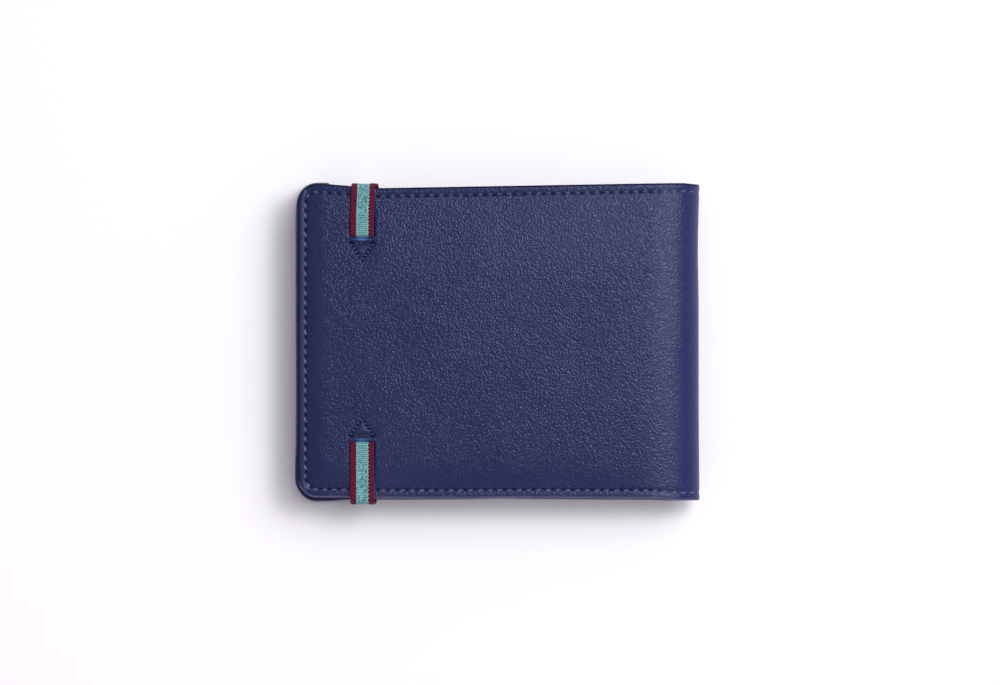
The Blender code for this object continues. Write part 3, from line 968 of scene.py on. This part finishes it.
def strap_relief(across, along):
    """Ribs across the teal, and two plaited cords along each maroon stripe."""
    edge = np.abs(across) - TEAL_HALF
    row = np.floor(along / RIB_PITCH)
    step = np.cos(math.tau * (across / 0.62 + 0.5 * (row % 2)))
    ribs = 0.085 * np.abs(np.sin(math.pi * along / RIB_PITCH)) * (0.8 + 0.2 * step)
    cord = edge / (STRAP_WIDTH / 2 - TEAL_HALF)
    plait = 0.12 * np.abs(np.cos(math.pi * (along / PLAIT_PITCH + 0.5 * (cord < 0.5))))
    round_cord = 0.10 * np.abs(np.sin(math.tau * np.clip(cord, 0, 1)))
    return np.where(edge < 0, ribs, plait + round_cord) - 0.08 * bell(edge, 0, 0.14)


def strap_drift(y, z):
    """The elastic leans to the right near the top edge, and at both edges where it goes down the side."""
    on_side = rise(np.abs(y), 15, 30) * rise(BACK_Z - z, 0.5, 3.5)
    return 0.32 * rise(y, 37, 9) + on_side * np.where(y > 0, 0.75, 0.45)


def strap_surface(path_y, path_z, along):
    """Sweeps the elastic's section along a line of (y, z) points."""
    run_y = np.gradient(path_y, along)
    run_z = np.gradient(path_z, along)
    length = np.hypot(run_y, run_z)
    drift = strap_drift(path_y, path_z)
    path_y, path_z, along, out_y, out_z, drift = (
        v[:, None] for v in (path_y, path_z, along, -run_z / length, run_y / length, drift)
    )
    across, height = strap_section()
    lift = np.where(height > 0, strap_relief(across, along), 0.02)
    level = height + np.sign(height) * (lift - 0.06)
    fray = 0.04 * np.sin(math.tau * along / 0.62) * (np.abs(across) > STRAP_WIDTH / 2 - 0.2)
    x = STRAP_X + across + np.sign(across) * fray + drift
    shell = Shell()
    shell.grid(
        stack(x, path_y + out_y * level, path_z + out_z * level),
        across=across, along=along, near_slit=fall(np.abs(path_y), 34.5, 3) * (height > 0),
    )
    return shell


def resample(points):
    """Evenly spaced points along a polyline of (y, z) points, and the distance along it."""
    y, z = np.array(points).T
    along = travel(y, z)
    even = np.linspace(0, along[-1], math.ceil(along[-1] / STRAP_SPACING) + 1)
    return np.interp(even, along, y), np.interp(even, along, z), even


def bend_points(centre_y, centre_z, radius, start, stop):
    """Points round a bend, by angle in degrees from the +Y direction."""
    angle = np.radians(np.linspace(start, stop, 16))
    return list(zip(centre_y + radius * np.cos(angle), centre_z + radius * np.sin(angle)))


def build_leg(end, name):
    """The elastic from inside its slit, over the cover, to where the loop begins."""
    slit_y = SLIT_Y - BOTTOM_SLIT_SHIFT * (end < 0)
    foot_y = slit_y + 0.30
    bend = 0.75
    points = [(foot_y - 0.15, STRAP_TOP_Z - 2.0), (foot_y, STRAP_TOP_Z - bend)]
    points += bend_points(foot_y + bend, STRAP_TOP_Z - bend, bend, 180, 90)
    y, z, along = resample(points + [(LEG_END_Y, STRAP_TOP_Z)])
    if end < 0:
        y, z = -y[::-1], z[::-1]
    leg = strap_surface(y, z, along).build(f"elastic_{name}_strap", ELASTIC, f"elastic_{name}_leg")
    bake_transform(leg)


def build_loop():
    """The elastic over both edges and across the front cover."""
    drawn_in = 1.2
    top_y = LOOP_HIGH[1] - drawn_in - STRAP_THICK / 2
    low_y = LOOP_LOW[1] + 0.1 + STRAP_THICK / 2
    bend = 1.5
    tight = 1.1
    points = [(LEG_END_Y, STRAP_TOP_Z), (top_y - bend, STRAP_TOP_Z)]
    points += bend_points(top_y - bend, STRAP_TOP_Z - bend, bend, 90, 0)
    points += bend_points(top_y - tight, STRAP_LOW_Z + tight, tight, 0, -90)
    points += bend_points(low_y + tight, STRAP_LOW_Z + tight, tight, -90, -180)
    points += bend_points(low_y + bend, STRAP_TOP_Z - bend, bend, 180, 90)
    points += [(-LEG_END_Y, STRAP_TOP_Z)]
    loop = strap_surface(*resample(points)).build("elastic_band_loop", ELASTIC, "elastic_loop")
    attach(loop, "elastic_band")
    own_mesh(loop)


# ---- materials


class Nodes:
    """Short calls that add nodes to a shader tree."""

    def __init__(self, tree):
        self.tree = tree

    def feed(self, socket, value):
        if isinstance(value, bpy.types.NodeSocket):
            self.tree.links.new(value, socket)
        elif isinstance(value, tuple) and len(value) == 3 and socket.type == "RGBA":
            socket.default_value = (*value, 1)
        else:
            socket.default_value = value

    def node(self, kind, inputs=None, output=0, **settings):
        node = self.tree.nodes.new(kind)
        for key, value in settings.items():
            setattr(node, key, value)
        for key, value in (inputs or {}).items():
            self.feed(node.inputs[key], value)
        return node.outputs[output]

    def attribute(self, name, output="Fac"):
        return self.node("ShaderNodeAttribute", output=output, attribute_name=name)

    def math(self, operation, a, b=0.0):
        return self.node("ShaderNodeMath", {0: a, 1: b, 2: 0.0}, operation=operation)

    def add(self, a, b):
        return self.math("ADD", a, b)

    def minus(self, a, b):
        return self.math("SUBTRACT", a, b)

    def times(self, a, b):
        return self.math("MULTIPLY", a, b)

    def scaled(self, value, low, high, to_low=0.0, to_high=1.0):
        limits = {"From Min": low, "From Max": high, "To Min": to_low, "To Max": to_high, "Value": value}
        return self.node("ShaderNodeMapRange", limits)

    def axis(self, vector, name):
        return self.node("ShaderNodeSeparateXYZ", {"Vector": vector}, name)

    def mix(self, factor, a, b):
        return self.node("ShaderNodeMix", {0: factor, 6: a, 7: b}, 2, data_type="RGBA")


class Look(Nodes):
    """A Principled material. Its textures work in millimetres, from the piece's rest places."""

    def __init__(self, name):
        self.material = bpy.data.materials.new(name)
        self.material.use_nodes = True
        super().__init__(self.material.node_tree)
        self.rest = self.attribute("rest", "Vector")

    def noise(self, scale, detail=2.0, roughness=0.5, vector=None):
        inputs = {"Vector": vector or self.rest, "Scale": scale, "Detail": detail, "Roughness": roughness}
        return self.node("ShaderNodeTexNoise", inputs)

    def layer(self, colour, tint, mask, low=0.0, high=1.0, amount=1.0):
        """A tint laid over a colour, by an amount that grows as the mask goes from low to high."""
        return self.mix(self.scaled(mask, low, high, 0.0, amount), colour, tint)

    def bump(self, height, distance, strength=1.0, normal=None):
        inputs = {"Height": height, "Distance": distance * MM, "Strength": strength}
        if normal is not None:
            inputs["Normal"] = normal
        return self.node("ShaderNodeBump", inputs)

    def finish(self, colour, roughness, normal=None, specular=0.5, sheen=0.0, tint=(1, 1, 1)):
        inputs = {
            "Base Color": colour, "Roughness": roughness, "Normal": normal,
            "Specular IOR Level": specular, "Sheen Weight": sheen, "Specular Tint": tint,
        }
        shader = self.tree.nodes["Principled BSDF"]
        for name, value in inputs.items():
            if value is not None:
                self.feed(shader.inputs[name], value)
        return self.material


NAVY = (0.0095, 0.0152, 0.070)
# Painted shade colour, for the grain's valleys and the free side
NAVY_SHADE = (0.0040, 0.0075, 0.050)
NAVY_WORN = (0.016, 0.022, 0.078)
# Painted shade colour for the outer fold
NAVY_FOLD_SHADE = (0.0085, 0.0150, 0.112)
# Painted highlight colour, for the start of the fold and the top right
NAVY_HIGHLIGHT = (0.034, 0.042, 0.105)
# Dyed edge colour, also used for painted shade in holes, creases and on the fold
NAVY_EDGE_AND_SHADE = (0.0025, 0.0038, 0.028)
RAW_EDGE = (0.100, 0.095, 0.190)
LIP_BLUE = (0.022, 0.060, 0.200)
LIP_PALE = (0.060, 0.160, 0.400)
THREAD_DARK = (0.045, 0.052, 0.130)
THREAD_LIGHT = (0.100, 0.110, 0.215)
THREAD_FIBRE = (0.12, 0.13, 0.24)
CLOTH_DARK = (0.012, 0.017, 0.05)
CLOTH_LIGHT = (0.035, 0.045, 0.11)
CLOTH_SLUB = (0.045, 0.055, 0.12)
TEAL = (0.115, 0.310, 0.320)
TEAL_LIGHT = (0.290, 0.590, 0.560)
TEAL_DARK = (0.028, 0.110, 0.125)
MAROON = (0.128, 0.007, 0.034)
MAROON_DARK = (0.016, 0.002, 0.006)
MAROON_LIGHT = (0.16, 0.02, 0.05)
BOARD_DARK = (0.13, 0.11, 0.09)
BOARD_LIGHT = (0.24, 0.21, 0.18)
PAPER = (0.92, 0.92, 0.92)
WHITE = (1.0, 1.0, 1.0)
SKY = (1.0, 0.92, 1.04)


# Painted light and shade on the leather's colour: the value that says where, its strength and its tint
PAINTED_LIGHT_AND_SHADE = [("burnish", 0.6, NAVY_SHADE), ("worn", 0.75, NAVY_HIGHLIGHT), ("blue", 0.55, NAVY_FOLD_SHADE)]


def leather_look(name, grain_scale, depth):
    """Pebbled leather: rounded cells that lean along a diagonal, wrinkles between them and fine pores."""
    look = Look(name)
    lean = {"Vector": look.rest, "Rotation": (0, 0, math.radians(28)), "Scale": (1.0, 0.80, 1.0)}
    leaning = look.node("ShaderNodeMapping", lean)
    cells = {"Vector": leaning, "Scale": grain_scale, "Smoothness": 0.25}
    pebbles = look.node("ShaderNodeTexVoronoi", cells, "Distance", feature="SMOOTH_F1")
    creases = look.noise(grain_scale * 0.9, 1.0, 0.45, leaning)
    uneven = look.noise(0.9, 2.0, 0.5, leaning)
    pores = look.noise(grain_scale * 3.0, 2.0, 0.6)
    broad = look.noise(0.045)
    patches = look.noise(0.25, 3.0)
    dome = look.scaled(pebbles, 0.15, 0.75, 1.0, 0.0)
    height = look.add(look.times(dome, 0.55), look.times(creases, 0.75))
    height = look.add(height, look.times(pores, 0.05))
    height = look.add(height, look.times(uneven, 0.35))
    grain, edge, rim, paint = (look.attribute(value) for value in ("grain", "edge", "rim", "paint"))
    # Painted shade: the grain's valleys are darkened.
    valley = look.scaled(height, 0.55, 1.05)
    colour = look.mix(valley, NAVY_SHADE, NAVY)
    colour = look.layer(colour, NAVY_WORN, broad, 0.35, 0.65, 0.35)
    colour = look.layer(colour, NAVY_WORN, patches, 0.45, 0.75, 0.25)
    # Painted shade on the free side and outer fold, and a painted highlight at the start of the fold and the
    # top right.
    for value, amount, tint in PAINTED_LIGHT_AND_SHADE:
        colour = look.mix(look.times(look.attribute(value), amount), colour, tint)
    # The dark dyed top and left edges, and painted shade in needle holes, slot creases and the fold's dark
    # band.
    colour = look.mix(rim, colour, NAVY_EDGE_AND_SHADE)
    colour = look.mix(look.times(edge, look.scaled(patches, 0.3, 0.6, 0.4, 0.9)), colour, RAW_EDGE)
    colour = look.layer(colour, LIP_BLUE, paint, 0.0, 0.3)
    colour = look.layer(colour, LIP_PALE, paint, 0.4, 1.0)
    rough = look.scaled(look.add(valley, patches), 0.2, 1.5, 0.40, 0.30)
    rough = look.add(rough, look.times(edge, 0.15))
    normal = look.bump(height, depth, grain, look.bump(pores, 0.004))
    shine = look.scaled(rim, 0.0, 1.0, 0.68, 0.08)
    return look.finish(colour, rough, normal, specular=shine, tint=(0.72, 0.78, 1.0))


def thread_look():
    """Twisted navy thread with a slight sheen, a little lighter than the leather."""
    look = Look("sewing_thread")
    twist = look.noise(7.0, 2.0, 0.6)
    colour = look.layer(THREAD_DARK, THREAD_LIGHT, look.noise(0.5), 0.35, 0.65)
    colour = look.layer(colour, THREAD_FIBRE, twist, 0.4, 0.7, 0.4)
    rough = look.scaled(twist, 0.3, 0.7, 0.45, 0.65)
    return look.finish(colour, rough, look.bump(twist, 0.03), sheen=0.2)


def cloth_look():
    """Plain woven lining."""
    look = Look("lining_cloth")
    turns = math.tau / 0.45
    warp, weft = (look.math("SINE", look.times(look.axis(look.rest, axis), turns)) for axis in "XY")
    weave = look.times(warp, weft)
    slub = look.noise(1.2, 3.0)
    colour = look.layer(CLOTH_DARK, CLOTH_LIGHT, weave, -1.0, 1.0)
    colour = look.layer(colour, CLOTH_SLUB, slub, 0.4, 0.7, 0.5)
    normal = look.bump(weave, 0.05, 0.8, look.bump(slub, 0.04))
    return look.finish(colour, 0.85, normal, specular=0.2, sheen=0.3)


def elastic_look():
    """Woven elastic: a ribbed teal middle, plaited maroon stripes and a toothed line between them."""
    look = Look("woven_elastic")
    signed = look.attribute("across")
    across = look.math("ABSOLUTE", signed)
    along = look.attribute("along")
    fibre = look.noise(6.0, 2.0, 0.6)
    knots = look.noise(2.5, 1.0, 0.5)
    slub = look.noise(1.1)
    teeth = look.times(look.math("PINGPONG", along, 0.53), look.scaled(signed, 0.0, 0.2, 0.35, 0.85))
    border = look.add(teeth, TEAL_HALF - 0.26)
    border = look.add(border, look.times(look.minus(fibre, 0.5), 0.25))
    outside = look.minus(across, border)
    maroon = look.scaled(outside, -0.05, 0.05)
    rib = look.math("ABSOLUTE", look.math("SINE", look.times(along, math.pi / RIB_PITCH)))
    teal = look.layer(TEAL_DARK, TEAL, knots, 0.41, 0.55)
    teal = look.layer(teal, TEAL_LIGHT, knots, 0.52, 0.62)
    # Painted shade in the troughs of the ribs, used near the slits.
    ribbed = look.layer(TEAL_DARK, look.mix(0.25, TEAL, TEAL_LIGHT), rib, 0.1, 0.8)
    teal = look.mix(look.scaled(look.attribute("near_slit"), 0.0, 1.0, 0.35, 0.75), teal, ribbed)
    tips = look.scaled(look.minus(border, across), 0.0, 0.35, 0.8, 0.0)
    teal = look.mix(tips, teal, TEAL_LIGHT)
    inner_cord = look.math("LESS_THAN", across, (TEAL_HALF + STRAP_WIDTH / 2) / 2)
    turns = look.add(look.times(along, math.pi / PLAIT_PITCH), look.times(inner_cord, math.pi / 2))
    plait = look.math("ABSOLUTE", look.math("COSINE", turns))
    # Painted shade in the gaps between the plaited cords.
    red = look.layer(MAROON_DARK, MAROON, plait, 0.2, 0.8, 1.1)
    red = look.layer(red, MAROON_LIGHT, slub, 0.4, 0.7, 0.35)
    seam = look.scaled(look.math("ABSOLUTE", outside), 0.0, 0.16, 0.55, 0.0)
    colour = look.mix(look.times(seam, maroon), look.mix(maroon, teal, red), MAROON_DARK)
    normal = look.bump(fibre, 0.05, 0.8, look.bump(rib, 0.04, 0.5))
    return look.finish(colour, 0.78, normal, specular=0.12, sheen=0.06)


def board_look():
    """Grey pressed board, for the stiffener hidden between leather and lining."""
    look = Look("pressed_board")
    fibre = look.noise(1.5, 4.0, vector=look.node("ShaderNodeTexCoord", output="Object"))
    colour = look.layer(BOARD_DARK, BOARD_LIGHT, fibre, 0.3, 0.7)
    return look.finish(colour, 0.9, look.bump(fibre, 0.05))


# Finishes: a material and the record's slot for it
LEATHER = leather_look("grained_leather", 1.75, 0.20), "outer_leather"
INNER_LEATHER = leather_look("inner_leather", 2.1, 0.15), "inner_leather"
CLOTH = cloth_look(), "lining_cloth"
THREAD = thread_look(), "thread"
ELASTIC = elastic_look(), "elastic"
BOARD = board_look()


# ---- the object


FOLD_LAYERS = [
    FoldLayer(
        "spine_lining_cloth", "spine_lining", CLOTH, LINING_LOW[1], LINING_HIGH[1],
        LINING_DEPTH, 0.7, 0.3, LINING_OVERLAP,
    ),
    FoldLayer(
        "gutter_leather", "gutter_lining", INNER_LEATHER, PANEL_LOW[1], PANEL_TOP_Y,
        PANEL_DEPTH, 0.0, PANEL_THICK, OVERLAP,
    ),
]


def build_wallet():
    for cover in (FRONT, BACK):
        build_cover_skin(cover)
        build_inside(cover)
        build_seam_stitches(cover)
        build_inner_stitches(cover)
        stiffener = frame["nodes"][f"{cover.name}_stiffener"]
        stiffener.data.materials.clear()
        stiffener.data.materials.append(BOARD)
    for number, part in enumerate(FOLD_PARTS, 1):
        build_fold_skin(part, number)
        build_fold_stitches(part, number)
        for layer in FOLD_LAYERS:
            build_fold_layer(layer, part, number)
    for end, name in ((1, "top"), (-1, "bottom")):
        build_tack_stitches(end, name)
        build_leg(end, name)
    build_loop()


# ---- floor, light and camera


def build_floor():
    radius = 0.9
    turns = [math.tau * i / 96 for i in range(96)]
    mesh = bpy.data.meshes.new("floor")
    mesh.from_pydata([(radius * math.cos(a), radius * math.sin(a), 0) for a in turns], [], [list(range(96))])
    mesh.materials.append(Look("white_paper").finish(PAPER, 0.9, specular=0.1))
    new_object("floor", mesh)


def add_light(name, kind, location, energy):
    """A light that shines from a place, in metres, towards the wallet."""
    light = bpy.data.lights.new(name, kind)
    light.energy = energy
    obj = new_object(name, light)
    obj.location = location
    obj.rotation_euler = (-Vector(location)).to_track_quat("-Z", "Y").to_euler()
    return obj


def build_lights():
    """Even light from one side with soft shadows, and a lamp whose sheen shows the leather's grain."""
    window = add_light("window", "SUN", (0.46, 0.36, 0.90), 1.80)
    window.data.angle = math.radians(50)
    window.visible_glossy = False
    lamp = add_light("lamp", "AREA", (0.240, 0.165, 0.55), 1.10)
    lamp.data.shape = "DISK"
    lamp.data.size = 0.20


def build_world(overhead, horizon):
    """Light all round, dimmer overhead than low down, seen by the camera as a pale backdrop."""
    world = bpy.data.worlds.new("studio")
    bpy.context.scene.world = world
    world.use_nodes = True
    nodes = Nodes(world.node_tree)
    direction = nodes.node("ShaderNodeTexCoord", output="Generated")
    glow = nodes.scaled(nodes.axis(direction, "Z"), 0.0, 1.0, horizon, overhead)
    light = nodes.node("ShaderNodeBackground", {"Color": SKY, "Strength": glow})
    backdrop = nodes.node("ShaderNodeBackground", {"Color": WHITE, "Strength": 1.0})
    seen = nodes.node("ShaderNodeLightPath", output="Is Camera Ray")
    surface = nodes.node("ShaderNodeMixShader", {0: seen, 1: light, 2: backdrop})
    nodes.feed(world.node_tree.nodes["World Output"].inputs["Surface"], surface)


def build_camera():
    """Straight above the wallet, far off with a long lens, so that it is seen almost without perspective."""
    half_width = 148.35
    distance = 1600.0
    data = bpy.data.cameras.new("camera")
    data.sensor_width = 36
    data.lens = data.sensor_width / 2 * distance / half_width
    data.clip_end = 10
    camera = new_object("camera", data)
    camera.location = Vector((0.5, -0.15, BACK_Z + distance)) * MM
    bpy.context.scene.camera = camera


def build_studio():
    build_floor()
    build_lights()
    build_world(0.25, 0.85)
    build_camera()
    bpy.context.scene.view_settings.view_transform = "Standard"
    bpy.context.scene.cycles.use_denoising = True


build_wallet()
build_studio()
